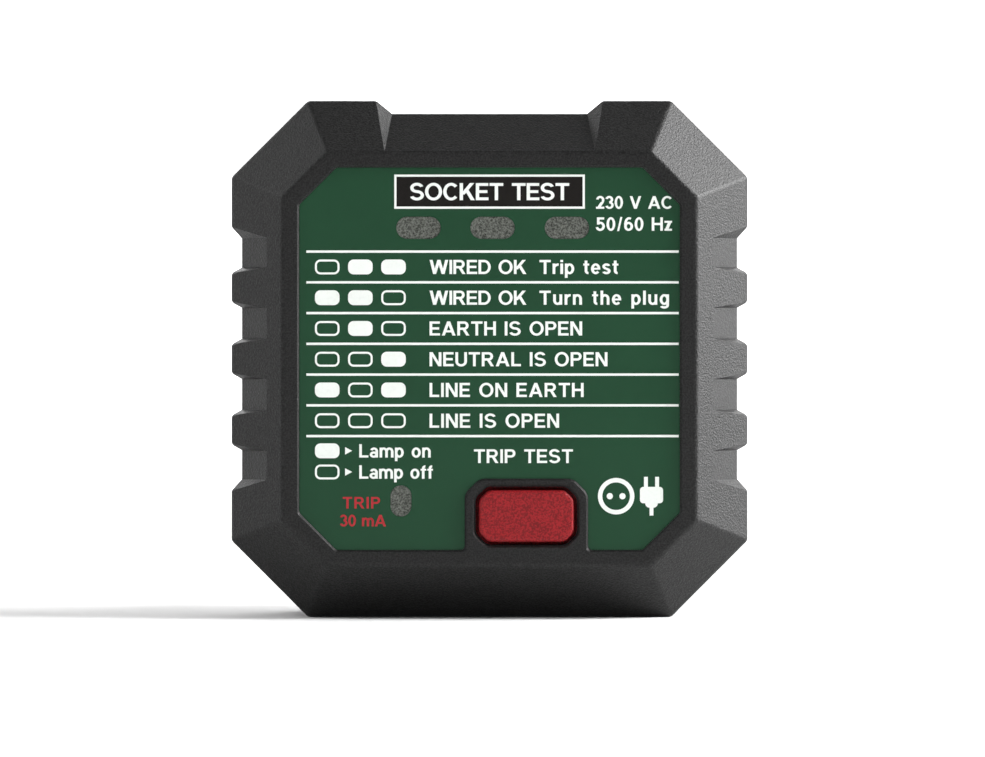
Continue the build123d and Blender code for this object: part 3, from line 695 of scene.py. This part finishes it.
SPRING_RADIUS = 2.4 * MM
SPRING_WIRE = 0.2 * MM       # the wire's radius
SPRING_TURNS = 4
spring, spring_foot = coil_spring(
    "button_coil", "button_spring", STEEL, SPRING_RADIUS, SPRING_WIRE, SPRING_TURNS
)
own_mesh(spring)


# ---- studio --------------------------------------------------------------------------------------
case_low, case_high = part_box("front_housing")
FLOOR_Z = case_low.z


def studio_floor():
    """A pale floor that curves up into a backdrop behind the object.

    It ends a little in front of the object, so that views from behind see no unlit floor.
    """
    half, near, far, rise, bend = 2.4, -0.75, 1.6, 2.6, 0.8
    profile = [(near, 0.0), (far - bend, 0.0)]
    steps = 24
    for k in range(1, steps + 1):
        turn = pi / 2 * k / steps
        profile.append((far - bend + bend * sin(turn), bend - bend * cos(turn)))
    profile.append((far, rise))
    shape = bmesh.new()
    columns = [
        [shape.verts.new((side * half, y, FLOOR_Z + z)) for y, z in profile] for side in (-1, 1)
    ]
    for k in range(len(profile) - 1):
        shape.faces.new((columns[0][k], columns[1][k], columns[1][k + 1], columns[0][k + 1]))
    for face in shape.faces:
        face.smooth = True
    mesh = bpy.data.meshes.new("studio_floor")
    shape.to_mesh(mesh)
    shape.free()
    floor = bpy.data.objects.new("studio_floor", mesh)
    bpy.context.scene.collection.objects.link(floor)
    finish = Finish("studio_white", (0.78, 0.78, 0.78), 0.9, Specular_IOR_Level=0.1)
    finish.paint(((0.77, 0.77, 0.77), (0.79, 0.79, 0.79)), finish.noise(0.4, 2.0))
    mesh.materials.append(finish.material)


def softbox(name, place, target, size, power):
    """A rectangular white area light that looks at a point."""
    lamp = bpy.data.lights.new(name, "AREA")
    lamp.shape = "RECTANGLE"
    lamp.size, lamp.size_y = size
    lamp.energy = power
    holder = bpy.data.objects.new(name, lamp)
    holder.location = place
    holder.rotation_euler = (Vector(target) - Vector(place)).to_track_quat("-Z", "Y").to_euler()
    bpy.context.scene.collection.objects.link(holder)


def ring_box(name, turn, lean, power):
    """A square softbox on a sphere round the casing's front.

    turn runs round the view axis in degrees, from 0 at the right to 90 above, and lean runs from
    0 in front of the face to 90 beside it and 180 behind it.
    """
    turn, lean = radians(turn), radians(lean)
    direction = Vector((sin(lean) * cos(turn), -cos(lean), sin(lean) * sin(turn)))
    softbox(name, middle + BOX_DISTANCE * direction, middle, (BOX_SIZE, BOX_SIZE), power)


BOX_DISTANCE = 1.2
BOX_SIZE = 0.7
middle = Vector((0, case_low.y, 0))
studio_floor()
ring_box("key_box", 18, 90, 26.0)
ring_box("upper_key_box", 40, 90, 20.5)
ring_box("top_box", 90, 90, 0.5)
ring_box("upper_left_box", 138, 90, 3.4)
ring_box("left_box", 162, 90, 1.6)
ring_box("rear_right_box", 20, 112, 4.0)
ring_box("rear_left_box", 160, 112, 2.0)
ring_box("front_box", 130, 32, 2.1)
softbox("backdrop_box", (0, 1.25, 0.85), (0, 1.30, 0), (2.6, 0.4), 32.0)

# The surroundings look white to the camera, and give only a little light of their own.
SURROUNDINGS_LIGHT = 0.06
world = bpy.data.worlds.new("studio")
bpy.context.scene.world = world
world.use_nodes = True
air = world.node_tree
background = air.nodes["Background"]
background.inputs["Color"].default_value = (1.0, 1.0, 1.0, 1.0)
rays = air.nodes.new("ShaderNodeLightPath")
strength = air.nodes.new("ShaderNodeMapRange")
strength.inputs["To Min"].default_value = SURROUNDINGS_LIGHT
strength.inputs["To Max"].default_value = 1.0
air.links.new(rays.outputs["Is Camera Ray"], strength.inputs["Value"])
air.links.new(strength.outputs["Result"], background.inputs["Strength"])

# The camera looks along +Y at the middle of the casing, from far enough to see it almost
# without perspective. The view is 133.5 mm wide where the casing is widest.
VIEW_WIDTH = 133.5 * MM
LENS = 200.0
SENSOR = 36.0
SHIFT = (0.003, -0.020)
WIDEST = 7.2 * MM             # depth at which the casing is widest, behind its front
silhouette_y = case_low.y + WIDEST
camera_data = bpy.data.cameras.new("camera")
camera_data.lens = LENS
camera_data.sensor_width = SENSOR
camera_data.clip_start = 0.01
camera_data.shift_x, camera_data.shift_y = SHIFT
camera = bpy.data.objects.new("camera", camera_data)
camera.location = (0, silhouette_y - VIEW_WIDTH * LENS / SENSOR, 0)
camera.rotation_euler = (pi / 2, 0, 0)
bpy.context.scene.collection.objects.link(camera)
bpy.context.scene.camera = camera
bpy.context.scene.view_settings.view_transform = "Standard"
